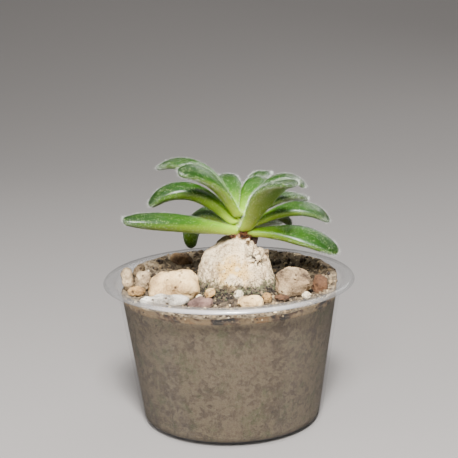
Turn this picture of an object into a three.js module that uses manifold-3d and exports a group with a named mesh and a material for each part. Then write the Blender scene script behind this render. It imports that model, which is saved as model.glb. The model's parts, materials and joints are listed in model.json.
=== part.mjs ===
// A small leaf succulent with a swollen caudex, in a clear plastic cup of gritty soil.
// Units are millimetres and +Z is up. The origin is the centre of the cup's base.

import * as THREE from 'three';
import { mergeVertices } from 'three/addons/utils/BufferGeometryUtils.js';
import Module from 'manifold-3d';

const wasm = await Module();
wasm.setup();

// Driving dimensions of the cup
const CUP_HEIGHT = 44;
const RIM_RADIUS = 37.5;
const MOUTH_RADIUS = 34.4;
const LIP_DROP = 1.2;
const NECK_RADIUS = 33.4;
const NECK_DEPTH = 5.7;
const NECK_STEP = 0.4;
const BASE_RADIUS = 27.5;
const WALL = 0.75;
const FLOOR_ROUND = 0.6;
const CUP_SIDES = 48;

// Driving dimensions of the soil
const CLEARANCE = 0.3;
const STONE_CLEARANCE = 0.5;
const SOIL_LEVEL = 40;
const SOIL_MOUND = 1.2;
const SOIL_BACK_RISE = 2;
const SOIL_BANK = 1.6;
const SOIL_SIDES = 40;
const SOIL_RINGS = 7;
const GRAIN_COUNT = 46;

// The caudex is a turned outline of [radius, height], which leans over to the crown's axis
const CAUDEX_FOOT = new THREE.Vector2(2.3, -2.5);
const CROWN = new THREE.Vector2(4.1, -1.5);
const CAUDEX_OUTLINE = [
  [10.6, 32.5], [11.3, 38], [11.4, 42], [11.0, 46], [10.2, 49.6], [9.2, 51.8],
  [7.0, 53.3], [4.2, 54.5], [1.9, 55.9], [1.5, 58.4], [1.3, 61],
];
const CAUDEX_SIDES = 24;
const CAUDEX_ROWS = 16;
const LEAN_FROM = 49;
const LEAN_TO = 57;
const STUMPS = [
  { foot: [7.0, 1.6, 51.0], tip: [7.5, 1.8, 55.5], radius: 1.3 },
  { foot: [5.0, -4.0, 54.0], tip: [6.1, -4.7, 56.0], radius: 0.8 },
];
const BACK_LOBE = { centre: [0.4, 2.8, 50], size: [5.2, 4.8, 5.6] };

// Leaves: angles in degrees. The rise goes from the first to the second value along the leaf.
const LEAVES = [
  { azimuth: 202, height: 58.35, start: 2.6, rise: [16, 1], bend: 1.5, sweep: -3, length: 34.2, width: 7.2,
    thickness: 5, roll: -15 },
  { azimuth: 233, height: 62.9, start: 2.2, rise: [57, -9], bend: 1.9, sweep: -18, length: 28.4, width: 6.4,
    thickness: 3.6, roll: -42 },
  { azimuth: 162, height: 63.15, start: 1.8, rise: [67, -34], bend: 1.5, sweep: 2, length: 31.4, width: 6.2,
    thickness: 3.6, roll: -10 },
  { azimuth: 185.5, height: 60.8, start: 2.55, rise: [55, -58], bend: 1.6, sweep: 0.5, length: 29.8, width: 6.8,
    thickness: 5, roll: -18 },
  { azimuth: 137, height: 58.8, start: 2.7, rise: [29, -112], bend: 1.45, sweep: -12, length: 29.6, width: 8.6,
    thickness: 5, roll: -20 },
  { azimuth: 103, height: 61.6, start: 3.1, rise: [61, -13], bend: 1, sweep: -2, length: 22.9, width: 6.4,
    thickness: 3.2, roll: 0 },
  { azimuth: 60, height: 62.3, start: 1.3, rise: [74, -17], bend: 1.1, sweep: -6, length: 17.9, width: 6.4,
    thickness: 3.2, roll: 10 },
  { azimuth: 77, height: 59.7, start: 4, rise: [40, -21], bend: 1.7, sweep: -8, length: 31.9, width: 6,
    thickness: 3.2, roll: 0 },
  { azimuth: -58, height: 58.8, start: 2.6, rise: [52, -12], bend: 2.7, sweep: 6, length: 29.2, width: 10.4,
    thickness: 3.6, roll: 0 },
  { azimuth: -6, height: 61.5, start: 2.9, rise: [79, -60], bend: 1.7, sweep: -4, length: 24.3, width: 6.2,
    thickness: 3.2, roll: 0 },
  { azimuth: -4, height: 60, start: 3.9, rise: [30, -57], bend: 1.8, sweep: 6, length: 24.4, width: 6.8,
    thickness: 3.5, roll: 16 },
  { azimuth: 41, height: 60.5, start: 2.8, rise: [42, -28], bend: 0.9, sweep: 4, length: 27, width: 6.6,
    thickness: 3.2, roll: 0 },
  { azimuth: 34, height: 58.5, start: 3.8, rise: [32, -66], bend: 1.5, sweep: -3, length: 16, width: 5.4,
    thickness: 2.8, roll: 0 },
  { azimuth: -6, height: 57.4, start: 2.6, rise: [2, -41], bend: 1.6, sweep: 2, length: 27.4, width: 8.2,
    thickness: 4, roll: 26 },
  { azimuth: 70, height: 57.6, start: 2.7, rise: [0, -15], bend: 1.1, sweep: -14, length: 27, width: 5.4,
    thickness: 2.8, roll: 0 },
];
const LEAF_RINGS = 12;
const LEAF_SIDES = 12;
const LEAF_BASE_WIDTH = 0.38;
const LEAF_BASE_THICKNESS = 0.5;
const LEAF_WIDEST = 0.6;
const LEAF_LAST_RING = 0.975;
const GROOVE = 0.2;
const CUSHION_RADIUS = 0.75;
const CUSHION_GAP = 0.52;
const CUSHION_RISE = 0.3;
const LONG_CUSHION = 3.2;
const SLIM_CUSHION = 0.47;
const NECK_FOOT = 57.3;
const NECK_TOP = 60.3;

// Stones: place of the centre, half sizes, turn about Z and tilt about Y in degrees, and the
// power of the rounded box that each is shaped from
const STONES = [
  { place: [-16.1, -9.7, 43.6], half: [7.3, 4.1, 4.2], turn: 3, tilt: -3, power: 3.4, taper: 0.16 },
  { place: [-25.5, -1.6, 43.0], half: [2.2, 2.3, 3.3], turn: 20, tilt: 4, power: 2.6, taper: 0 },
  { place: [-27.2, 4.6, 43.3], half: [1.5, 2.5, 3.5], turn: -10, tilt: 6, power: 3, taper: 0 },
  { place: [-30.4, 0.9, 43.0], half: [1.7, 2.6, 3.6], turn: 4, tilt: -8, power: 2.8, taper: 0 },
  { place: [-27.2, -6.6, 41.3], half: [2.5, 1.6, 1.5], turn: -14, tilt: 0, power: 3, taper: 0 },
  { place: [-18.4, -16.7, 41.2], half: [7.2, 2.2, 1.9], turn: -5, tilt: -1, power: 3, taper: 0 },
  { place: [-8.1, -20.6, 41.2], half: [3.4, 2, 1.8], turn: 8, tilt: 0, power: 2.6, taper: 0 },
  { place: [5.8, -20.4, 41.2], half: [3.8, 2.1, 1.7], turn: 4, tilt: 3, power: 2.5, taper: 0 },
  { place: [10.6, -16.8, 41.1], half: [1.5, 1.3, 1.4], turn: 30, tilt: 0, power: 2.6, taper: 0 },
  { place: [15.0, -16.9, 41.2], half: [2.2, 1.3, 1], turn: -4, tilt: 0, power: 2.1, taper: 0 },
  { place: [18.7, -9.8, 43.6], half: [5, 4.1, 4.2], turn: -6, tilt: 5, power: 2.9, taper: -0.1 },
  { place: [26.6, -8.6, 42.3], half: [2.3, 2.9, 2.9], turn: 12, tilt: 10, power: 2.5, taper: 0 },
  { place: [-15, 23.2, 43.2], half: [3.4, 2, 2], turn: 14, tilt: 8, power: 2.8, taper: 0 },
  { place: [2.7, -15.8, 42.2], half: [1.3, 1.2, 1.4], turn: 0, tilt: 0, power: 2.3, taper: 0 },
  { place: [-5.6, -14.2, 42.4], half: [1.3, 1.2, 1.5], turn: 20, tilt: 10, power: 2.4, taper: 0 },
  { place: [-8.6, -15.9, 41.4], half: [0.9, 0.8, 1.2], turn: 0, tilt: 12, power: 2.6, taper: 0 },
  { place: [22.2, -15.2, 41.2], half: [1.3, 1, 1.1], turn: 25, tilt: 0, power: 2.8, taper: 0 },
];

const FINE_STONE = 3.45;
const RANDOM_SEED = 4127;

const MATERIALS = {
  cup: { color: 0xd9dcdc, roughness: 0.12, metalness: 0, transparent: true, opacity: 0.35 },
  soil: { color: 0x6e6253, roughness: 0.95, metalness: 0 },
  bark: { color: 0xcbbfa8, roughness: 0.85, metalness: 0 },
  leaf: { color: 0x86ad4e, roughness: 0.55, metalness: 0 },
  stone: { color: 0xd8ccb6, roughness: 0.9, metalness: 0 },
};

const rad = THREE.MathUtils.degToRad;
const smooth = (value, low, high) => THREE.MathUtils.smoothstep(value, low, high);

// A repeatable random source
function randomSource(seed) {
  let state = seed;
  return () => {
    state = (state + 0x6d2b79f5) | 0;
    let mixed = Math.imul(state ^ (state >>> 15), 1 | state);
    mixed = (mixed + Math.imul(mixed ^ (mixed >>> 7), 61 | mixed)) ^ mixed;
    return ((mixed ^ (mixed >>> 14)) >>> 0) / 4294967296;
  };
}

// A closed skin over rings of equal length, with a fan of triangles at each end
function loft(rings, firstPoint, lastPoint) {
  const sides = rings[0].length;
  const points = [firstPoint, ...rings.flat(), lastPoint];
  const last = points.length - 1;
  const index = [];
  for (let side = 0; side < sides; side += 1) {
    const next = (side + 1) % sides;
    index.push(0, 1 + next, 1 + side);
    for (let ring = 0; ring < rings.length - 1; ring += 1) {
      const low = 1 + ring * sides;
      const high = low + sides;
      index.push(low + side, low + next, high + next);
      index.push(low + side, high + next, high + side);
    }
    const top = 1 + (rings.length - 1) * sides;
    index.push(last, top + side, top + next);
  }
  const geometry = new THREE.BufferGeometry().setFromPoints(points);
  geometry.setIndex(index);
  geometry.computeVertexNormals();
  return geometry;
}

// Conversions between a closed geometry and a solid that can be joined and cut
function toSolid(source, matrix = new THREE.Matrix4()) {
  const bare = source.clone();
  bare.deleteAttribute('normal');
  bare.deleteAttribute('uv');
  bare.applyMatrix4(matrix);
  const merged = mergeVertices(bare, 1e-5);
  return new wasm.Manifold(new wasm.Mesh({
    numProp: 3,
    vertProperties: new Float32Array(merged.attributes.position.array),
    triVerts: new Uint32Array(merged.index.array),
  }));
}

function toGeometry(solid) {
  const mesh = solid.getMesh();
  const geometry = new THREE.BufferGeometry();
  geometry.setAttribute('position', new THREE.BufferAttribute(mesh.vertProperties, 3));
  geometry.setIndex(new THREE.BufferAttribute(mesh.triVerts, 1));
  geometry.computeVertexNormals();
  return geometry;
}

function largestPiece(solid) {
  const pieces = solid.decompose();
  return pieces.reduce((best, piece) => (piece.volume() > best.volume() ? piece : best));
}

function addMesh(group, name, geometry, look) {
  const mesh = new THREE.Mesh(geometry, new THREE.MeshStandardMaterial(look));
  mesh.name = name;
  group.add(mesh);
  return mesh;
}

// The cup's outer radius at a height on the tapered wall, below the neck's step
const neckFoot = CUP_HEIGHT - NECK_DEPTH;
function wallRadius(height) {
  return BASE_RADIUS + (NECK_RADIUS - NECK_STEP - BASE_RADIUS) * (height / neckFoot);
}

// The cup: one turned wall with a flat base, a stepped neck and a thin rim with a short lip
function cupGeometry() {
  const lipEdge = RIM_RADIUS - WALL;
  const outside = [
    [0, 0], [BASE_RADIUS - FLOOR_ROUND, 0], [wallRadius(FLOOR_ROUND), FLOOR_ROUND], [wallRadius(neckFoot), neckFoot],
    [NECK_RADIUS, neckFoot + NECK_STEP], [NECK_RADIUS, CUP_HEIGHT - 1.8],
    [MOUTH_RADIUS, CUP_HEIGHT - WALL], [lipEdge - 0.2, CUP_HEIGHT - WALL],
    [lipEdge, CUP_HEIGHT - LIP_DROP], [RIM_RADIUS, CUP_HEIGHT - LIP_DROP],
    [RIM_RADIUS, CUP_HEIGHT - 0.4], [RIM_RADIUS - 0.4, CUP_HEIGHT],
  ];
  const inside = [
    [MOUTH_RADIUS, CUP_HEIGHT], [MOUTH_RADIUS - 0.7, CUP_HEIGHT - 0.5],
    [NECK_RADIUS - WALL, CUP_HEIGHT - 1.8], [NECK_RADIUS - WALL, neckFoot + NECK_STEP],
    [wallRadius(neckFoot) - WALL, neckFoot], [wallRadius(WALL + FLOOR_ROUND) - WALL, WALL + FLOOR_ROUND],
    [BASE_RADIUS - WALL - FLOOR_ROUND, WALL], [0, WALL],
  ];
  const outline = [...outside, ...inside].map(([radius, height]) => new THREE.Vector2(radius, height));
  const turned = new THREE.LatheGeometry(outline, CUP_SIDES);
  return turned.rotateX(Math.PI / 2);
}

// How far a point of the plan is from the caudex's foot
function fromCaudex(x, y) {
  return Math.hypot(x - CAUDEX_FOOT.x, y - CAUDEX_FOOT.y);
}

// The soil's surface: low waves, a mound against the caudex, a rise at the back, and a bank that
// climbs the wall at the back and right
function soilHeight(x, y) {
  const mound = SOIL_MOUND * Math.exp(-(((fromCaudex(x, y) - 11) / 3.2) ** 2));
  const waves = 0.22 * Math.sin(x * 0.45 + 1) * Math.cos(y * 0.38) + 0.12 * Math.sin(x * 0.9 - y * 0.8);
  const backRise = SOIL_BACK_RISE * smooth(y, 10, 30);
  const byWall = smooth(Math.hypot(x, y), 24, 32) * smooth(y + 0.35 * x, -8, 12);
  const bank = (SOIL_BANK + SOIL_BACK_RISE - backRise) * byWall;
  return SOIL_LEVEL + mound + waves + backRise + bank;
}

function ringOf(radius, sides, heightAt) {
  return Array.from({ length: sides }, (_, side) => {
    const angle = (side / sides) * 2 * Math.PI;
    const x = radius * Math.cos(angle);
    const y = radius * Math.sin(angle);
    return new THREE.Vector3(x, y, heightAt(x, y));
  });
}

// The soil's block: it keeps clear of the cup's wall and floor
function soilBlock() {
  const floor = WALL + CLEARANCE;
  const inner = (height) => wallRadius(height) - WALL - CLEARANCE;
  const topRadius = inner(neckFoot);
  const rings = [
    ringOf(inner(0) - 2 * FLOOR_ROUND, SOIL_SIDES, () => floor),
    ringOf(inner(floor + FLOOR_ROUND), SOIL_SIDES, () => floor + FLOOR_ROUND),
    ringOf(topRadius, SOIL_SIDES, () => neckFoot),
  ];
  for (let ring = SOIL_RINGS; ring > 0; ring -= 1) {
    rings.push(ringOf((topRadius * ring) / SOIL_RINGS, SOIL_SIDES, soilHeight));
  }
  const top = new THREE.Vector3(0, 0, soilHeight(0, 0));
  return loft(rings, new THREE.Vector3(0, 0, floor), top);
}

// The caudex's body, or with an offset the plain hole that it stands in
function caudexBody(offset) {
  const outline = new THREE.SplineCurve(CAUDEX_OUTLINE.map(([r, z]) => new THREE.Vector2(r, z)));
  const rings = [];
  const axisAt = (height) => CAUDEX_FOOT.clone().lerp(CROWN, smooth(height, LEAN_FROM, LEAN_TO));
  for (let row = 0; row <= CAUDEX_ROWS; row += 1) {
    const point = outline.getPoint(row / CAUDEX_ROWS);
    const axis = axisAt(point.y);
    const lobes = 1 - smooth(point.y, 50, 56);
    rings.push(Array.from({ length: CAUDEX_SIDES }, (_, side) => {
      const angle = (side / CAUDEX_SIDES) * 2 * Math.PI;
      const swell = 0.03 * Math.cos(2 * angle + 0.4) + 0.025 * Math.cos(3 * angle + 2)
        + 0.015 * Math.cos(5 * angle + point.y * 0.2);
      const radius = point.x * (1 + swell * lobes) + offset;
      return new THREE.Vector3(axis.x + radius * Math.cos(angle), axis.y + radius * Math.sin(angle), point.y);
    }));
  }
  const [first, last] = [CAUDEX_OUTLINE[0][1], CAUDEX_OUTLINE.at(-1)[1]];
  rings.forEach((ring) => {
    ring.forEach((corner) => {
      corner.z -= corner.z === first ? offset : 0;
    });
  });
  return loft(
    rings,
    new THREE.Vector3(CAUDEX_FOOT.x, CAUDEX_FOOT.y, first - offset),
    new THREE.Vector3(CROWN.x, CROWN.y, last + 0.3),
  );
}

// A short peg between two points, narrower at its tip
function pegSolid(foot, tip, radius) {
  const along = tip.clone().sub(foot);
  const peg = new THREE.CylinderGeometry(radius * 0.85, radius, along.length(), 8);
  const turn = new THREE.Quaternion().setFromUnitVectors(new THREE.Vector3(0, 1, 0), along.clone().normalize());
  const middle = foot.clone().add(tip).multiplyScalar(0.5);
  return toSolid(peg, new THREE.Matrix4().compose(middle, turn, new THREE.Vector3(1, 1, 1)));
}

// The centreline of a leaf: points and frames at even steps, from its rise, azimuth and sweep
function leafFrames(leaf, steps) {
  const frames = [];
  const point = new THREE.Vector3(
    CROWN.x + leaf.start * Math.cos(rad(leaf.azimuth)),
    CROWN.y + leaf.start * Math.sin(rad(leaf.azimuth)),
    leaf.height,
  );
  for (let step = 0; step <= steps; step += 1) {
    const along = step / steps;
    const rise = rad(leaf.rise[0] + (leaf.rise[1] - leaf.rise[0]) * along ** leaf.bend);
    const azimuth = rad(leaf.azimuth + leaf.sweep * along);
    const heading = new THREE.Vector3(
      Math.cos(rise) * Math.cos(azimuth), Math.cos(rise) * Math.sin(azimuth), Math.sin(rise),
    );
    if (step > 0) {
      const middle = heading.clone().add(frames[step - 1].heading).multiplyScalar(0.5);
      point.addScaledVector(middle, leaf.length / steps);
    }
    const roll = rad(leaf.roll) * Math.min(along / 0.5, 1);
    const side = new THREE.Vector3(-Math.sin(azimuth), Math.cos(azimuth), 0).applyAxisAngle(heading, roll);
    const up = new THREE.Vector3().crossVectors(heading, side);
    frames.push({ along, point: point.clone(), heading, side, up });
  }
  return frames;
}

// A leaf's half width and half thickness along its length
function leafHalfWidth(leaf, along) {
  const widen = LEAF_BASE_WIDTH + (1 - LEAF_BASE_WIDTH) * smooth(along, 0, LEAF_WIDEST);
  const toTip = Math.max((along - LEAF_WIDEST) / (1 - LEAF_WIDEST), 0);
  return (leaf.width / 2) * widen * Math.sqrt(1 - toTip ** 2.4);
}

function leafHalfThickness(leaf, along) {
  const thicken = LEAF_BASE_THICKNESS + (1 - LEAF_BASE_THICKNESS) * smooth(along, 0, 0.35);
  const toTip = Math.max((along - 0.45) / 0.55, 0);
  return (leaf.thickness / 2) * thicken * Math.sqrt(1 - 0.97 * toTip ** 2.6);
}

// A fleshy leaf: rounded below, with a shallow groove above
function leafGeometry(leaf) {
  const steps = LEAF_RINGS * 8;
  const frames = leafFrames(leaf, steps);
  const rings = [];
  for (let ring = 0; ring <= LEAF_RINGS; ring += 1) {
    const spread = Math.sin((ring / LEAF_RINGS) * (Math.PI / 2)) ** 0.85;
    const frame = frames[Math.round(spread * LEAF_LAST_RING * steps)];
    const halfWidth = leafHalfWidth(leaf, frame.along);
    const halfThickness = leafHalfThickness(leaf, frame.along);
    rings.push(Array.from({ length: LEAF_SIDES }, (_, corner) => {
      const angle = (corner / LEAF_SIDES) * 2 * Math.PI;
      const rise = Math.sin(angle);
      const lift = rise < 0 ? 1.2 * rise : 0.8 * rise - GROOVE * rise ** 4;
      return frame.point.clone()
        .addScaledVector(frame.side, halfWidth * Math.cos(angle))
        .addScaledVector(frame.up, halfThickness * lift);
    }));
  }
  return loft(rings, frames[0].point, frames[steps].point);
}

// The caudex with its neck, the leaf cushions, two dry stumps and the lobe behind
function caudexGeometry() {
  let solid = toSolid(caudexBody(0));
  const lobe = new THREE.SphereGeometry(1, 16, 10);
  const lobePlace = new THREE.Matrix4().compose(
    new THREE.Vector3(...BACK_LOBE.centre), new THREE.Quaternion(), new THREE.Vector3(...BACK_LOBE.size),
  );
  solid = solid.add(toSolid(lobe, lobePlace));
  STUMPS.forEach(({ foot, tip, radius }) => {
    solid = solid.add(pegSolid(new THREE.Vector3(...foot), new THREE.Vector3(...tip), radius));
  });
  LEAVES.forEach((leaf) => {
    const { point, heading } = leafFrames(leaf, 1)[0];
    const long = leaf.start > LONG_CUSHION;
    const drop = long ? CUSHION_RISE : leaf.start * Math.tan(rad(leaf.rise[0]));
    const level = THREE.MathUtils.clamp(point.z - drop, NECK_FOOT, NECK_TOP);
    const foot = new THREE.Vector3(CROWN.x, CROWN.y, level);
    const tip = point.clone().addScaledVector(heading, -CUSHION_GAP);
    solid = solid.add(pegSolid(foot, tip, long ? SLIM_CUSHION : CUSHION_RADIUS));
  });
  return toGeometry(largestPiece(solid));
}

// A stone: a rounded box with seeded dents, or with an offset the pocket that it lies in
function stoneGeometry(stone, number, offset) {
  const detail = Math.max(...stone.half) > FINE_STONE ? 2 : 1;
  const bare = new THREE.IcosahedronGeometry(1, detail);
  bare.deleteAttribute('normal');
  bare.deleteAttribute('uv');
  const geometry = mergeVertices(bare, 1e-5);
  const position = geometry.attributes.position;
  const point = new THREE.Vector3();
  for (let vertex = 0; vertex < position.count; vertex += 1) {
    point.fromBufferAttribute(position, vertex);
    const box = (Math.abs(point.x) ** stone.power + Math.abs(point.y) ** stone.power
      + Math.abs(point.z) ** stone.power) ** (-1 / stone.power);
    const dents = 0.05 * Math.sin(3.1 * point.x + number) * Math.cos(2.7 * point.y + 2 * number)
      + 0.04 * Math.sin(5.3 * point.z + 3.7 * point.x + number);
    point.multiplyScalar(box * (1 + dents));
    const taper = 1 + stone.taper * point.x;
    const corner = new THREE.Vector3(
      point.x * stone.half[0], point.y * stone.half[1], point.z * stone.half[2] * taper,
    );
    corner.addScaledVector(corner.clone().normalize(), offset);
    position.setXYZ(vertex, corner.x, corner.y, corner.z);
  }
  geometry.computeVertexNormals();
  return geometry;
}

function stoneMatrix(stone) {
  const turn = new THREE.Quaternion().setFromEuler(new THREE.Euler(0, rad(stone.tilt), rad(stone.turn), 'ZYX'));
  return new THREE.Matrix4().compose(new THREE.Vector3(...stone.place), turn, new THREE.Vector3(1, 1, 1));
}

// Grit: small angular grains sunk halfway into the surface, clear of stones, caudex and wall
function grains() {
  const random = randomSource(RANDOM_SEED);
  const found = [];
  while (found.length < GRAIN_COUNT) {
    const reach = 29.5 * Math.sqrt(random());
    const angle = random() * 2 * Math.PI;
    const size = 0.5 + 0.9 * random() ** 2;
    const spin = random() * Math.PI;
    const x = reach * Math.cos(angle);
    const y = reach * Math.sin(angle);
    const byCaudex = fromCaudex(x, y) < 12.9 + size;
    const byStone = STONES.some(({ place, half }) => (
      Math.hypot(x - place[0], y - place[1]) < Math.max(half[0], half[1]) + size + 0.6
    ));
    const byGrain = found.some((other) => Math.hypot(x - other.x, y - other.y) < size + other.size);
    if (!byCaudex && !byStone && !byGrain) {
      found.push({ x, y, size, spin });
    }
  }
  return found;
}

// The soil: a block with the caudex's hole and the stones' pockets, and grit standing out of it
function soilGeometry() {
  let solid = toSolid(soilBlock());
  grains().forEach(({ x, y, size, spin }) => {
    const grain = new THREE.IcosahedronGeometry(size, 0);
    const turn = new THREE.Quaternion().setFromEuler(new THREE.Euler(spin, spin * 0.7, spin * 1.9));
    const place = new THREE.Vector3(x, y, soilHeight(x, y) - 0.1 * size);
    solid = solid.add(toSolid(grain, new THREE.Matrix4().compose(place, turn, new THREE.Vector3(1.2, 1, 0.9))));
  });
  solid = solid.subtract(toSolid(caudexBody(CLEARANCE)));
  STONES.forEach((stone, number) => {
    solid = solid.subtract(toSolid(stoneGeometry(stone, number, STONE_CLEARANCE), stoneMatrix(stone)));
  });
  return toGeometry(largestPiece(solid));
}

const group = new THREE.Group();
const twoDigits = (number) => String(number + 1).padStart(2, '0');

addMesh(group, 'cup', cupGeometry(), MATERIALS.cup);
addMesh(group, 'soil', soilGeometry(), MATERIALS.soil);
addMesh(group, 'caudex', caudexGeometry(), MATERIALS.bark);
LEAVES.forEach((leaf, number) => {
  addMesh(group, `leaf_${twoDigits(number)}`, leafGeometry(leaf), MATERIALS.leaf);
});
STONES.forEach((stone, number) => {
  const mesh = addMesh(group, `stone_${twoDigits(number)}`, stoneGeometry(stone, number, 0), MATERIALS.stone);
  mesh.applyMatrix4(stoneMatrix(stone));
});

export default group;
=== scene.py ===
import json
import math

import bpy
import numpy as np
from mathutils import Matrix, Vector

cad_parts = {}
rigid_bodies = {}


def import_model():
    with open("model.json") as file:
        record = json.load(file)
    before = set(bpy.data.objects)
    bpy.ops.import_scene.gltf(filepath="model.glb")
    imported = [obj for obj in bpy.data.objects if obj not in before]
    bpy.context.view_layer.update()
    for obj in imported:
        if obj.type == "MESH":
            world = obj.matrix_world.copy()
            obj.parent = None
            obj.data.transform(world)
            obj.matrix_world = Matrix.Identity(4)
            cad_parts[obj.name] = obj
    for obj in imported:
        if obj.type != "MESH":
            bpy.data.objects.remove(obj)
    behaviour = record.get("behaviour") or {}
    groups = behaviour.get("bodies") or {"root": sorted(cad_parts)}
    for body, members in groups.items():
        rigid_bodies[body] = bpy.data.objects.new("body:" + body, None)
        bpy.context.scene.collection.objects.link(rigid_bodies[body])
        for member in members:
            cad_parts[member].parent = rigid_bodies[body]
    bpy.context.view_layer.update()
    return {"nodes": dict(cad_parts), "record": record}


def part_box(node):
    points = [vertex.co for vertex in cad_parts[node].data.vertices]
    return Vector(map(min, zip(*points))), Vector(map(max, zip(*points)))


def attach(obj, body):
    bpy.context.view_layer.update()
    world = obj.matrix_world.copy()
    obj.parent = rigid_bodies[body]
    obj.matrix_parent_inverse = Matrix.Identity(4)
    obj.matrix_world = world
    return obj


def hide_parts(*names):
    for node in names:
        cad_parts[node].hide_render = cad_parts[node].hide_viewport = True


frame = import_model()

MM = 0.001

# The cup
CUP_HEIGHT = 44 * MM
RIM_RADIUS = 37.5 * MM
MOUTH_RADIUS = 34.4 * MM
LIP_DROP = 1.2 * MM
LIP_SLANT = 0.2 * MM
FLARE_DROP = 1.8 * MM    # from the rim's top down to where the neck flares out
NECK_RADIUS = 33.4 * MM
NECK_FOOT = CUP_HEIGHT - 5.7 * MM
NECK_STEP = 0.4 * MM
MID_WALL = 20 * MM
BASE_RADIUS = 27.5 * MM
WALL = 0.75 * MM
INNER_WALL = WALL * 1.02   # across the slanting wall
FLOOR_ROUND = 0.6 * MM
CUP_SIDES = 160

# The soil: lengths are in millimetres from here on, unless they are given times MM
CLEARANCE = 0.3 * MM     # between the cup's wall and the soil
SOIL_LEVEL = 40.0
SOIL_SIDE_TOP = 38.3     # where the tapered side ends and the neck begins
SOIL_MOUND = 1.2
SOIL_BACK_RISE = 2.0
SOIL_BANK = 2.0          # how far the soil climbs the wall at the back and right
SOIL_SIDES = 144
SOIL_STEPS = 24
SOIL_RINGS = 58
SOIL_NECK_GAP = 0.4 * MM
CRUMBLY_ABOVE = 39.2
GRAIN_COUNT = 1900
GRAIN_REACH = 31.4
GRAIN_LIMIT = 0.9        # the largest grain's radius
NECK_GRAIN_COUNT = 360
NECK_GRAIN_REACH = (31.5, 32.1)
NECK_GRAIN_FOOT = 38.9
NECK_GRAIN_LIMIT = 0.5
CRUMB_COUNT = 1700
CRUMB_FOOT = 40.4        # the height at which the crumbs are thickest

# Where a finish changes over: the lengths at which the change begins and ends
RIM_EDGE = (42.0, 43.4)
LIP_EDGE = (36.4, 37.0)
# where the painted highlight on the rim's front fades out
FRONT_HIGHLIGHT_EDGE = (-37, -24)
BAND_EDGE = (38.0, 38.6)
TOP_EDGE = (38.6, 39.0)
TOP_REACH = (32.2, 31.8)
# where the soil top's painted shade gives way to painted light
PAINTED_LIGHT_REACH = (20, 29)
STONE_DAMP_EDGE = (40.0, 41.6)
BARK_DAMP_EDGE = (43.0, 45.8)
CONE_EDGE = (50.5, 54)
NECK_EDGE = (56.0, 57.0)
CUSHION_EDGE = (57.6, 58.2)

# Patches on the bark: a point, the radius that is marked in full and the one where the mark ends
OCHRE_PATCH = ((1.0, -13.2, 47.8), 2.0, 8.0)
# painted shade on the lobe behind the crown, at its left, where the leaves shade it
PAINTED_SHADE_LOBE = ((-1.5, 4.5, 55.5), 3.0, 6.0)
FLAKY_PATCH = ((10.0, -8.5, 52.5), 2.6, 5.2)
DARK_MOTTLE_PATCH = ((-9.0, -8.0, 45.0), 5.0, 12.0)

# The plant
CAUDEX_FOOT = (2.3, -2.5)
CAUDEX_RADIUS = 11.3
TRUNK_TOP = 56.5
BARK_TRIM = 1.2 * MM     # what is drawn in at the trunk's right and left shoulder
CROWN_SPOT = (4.1, -1.5)
CROWN = Vector((*CROWN_SPOT, 58.5)) * MM
STALK_FOOT = 53.0
STALK_PLACE = Vector((7.2, -0.6, 0.4)) * MM
STALK_TILT = math.radians(-16)
SCALE_COUNT = 46
SCALE_HEIGHTS = (55.2, 57.4)
LEAF_COUNT = 15
LEAF_FLATNESS = math.radians(70)
MARGIN_CURVE = 0.7       # how sharply the skin turns, a millimetre, where the margin's hairs begin
MARGIN_HAIRS = 19        # on each square millimetre
FACE_HAIRS = 2.2
HAIR_RADIUS = 0.015 * MM
SKIN_SWELL = 0.18 * MM   # makes up for what smoothing takes off a leaf's solid
TINY = 1e-9

# The stones
STONE_COUNT = 17
SMALL_STONE = 3.4 * MM

# The floor, in metres
FLOOR_SPAN = 2.4
SWEEP_START = 0.45
SWEEP_RADIUS = 1.8

# The camera: its view of the rim's centre, in pixels of a picture 458 pixels wide
PICTURE = 458
SENSOR = 36
CAMERA_RISE = math.radians(15)
CAMERA_ROLL = math.radians(-1.5)
CAMERA_REACH = 330 * MM
PIXELS_PER_MM = 3.335
FOCAL_PIXELS = PIXELS_PER_MM * CAMERA_REACH / MM
RIM_CENTRE = (228.8, 274.4)


def tone(red, green, blue):
    """A colour of the screen, 0 to 255, as the linear colour that a shader takes"""
    return tuple((value / 255) ** 2.2 for value in (red, green, blue)) + (1,)


class Value:
    """One output of a material's nodes, which Python's operators join with Math nodes"""

    def __init__(self, finish, socket):
        self.finish = finish
        self.socket = socket

    def maths(self, operation, *values):
        return self.finish.node("ShaderNodeMath", {"operation": operation}, dict(enumerate(values)))

    def __add__(self, other):
        return self.maths("ADD", self, other)

    def __sub__(self, other):
        return self.maths("SUBTRACT", self, other)

    def __rsub__(self, other):
        return self.maths("SUBTRACT", other, self)

    def __mul__(self, other):
        return self.maths("MULTIPLY", self, other)

    __radd__ = __add__
    __rmul__ = __mul__


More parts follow.
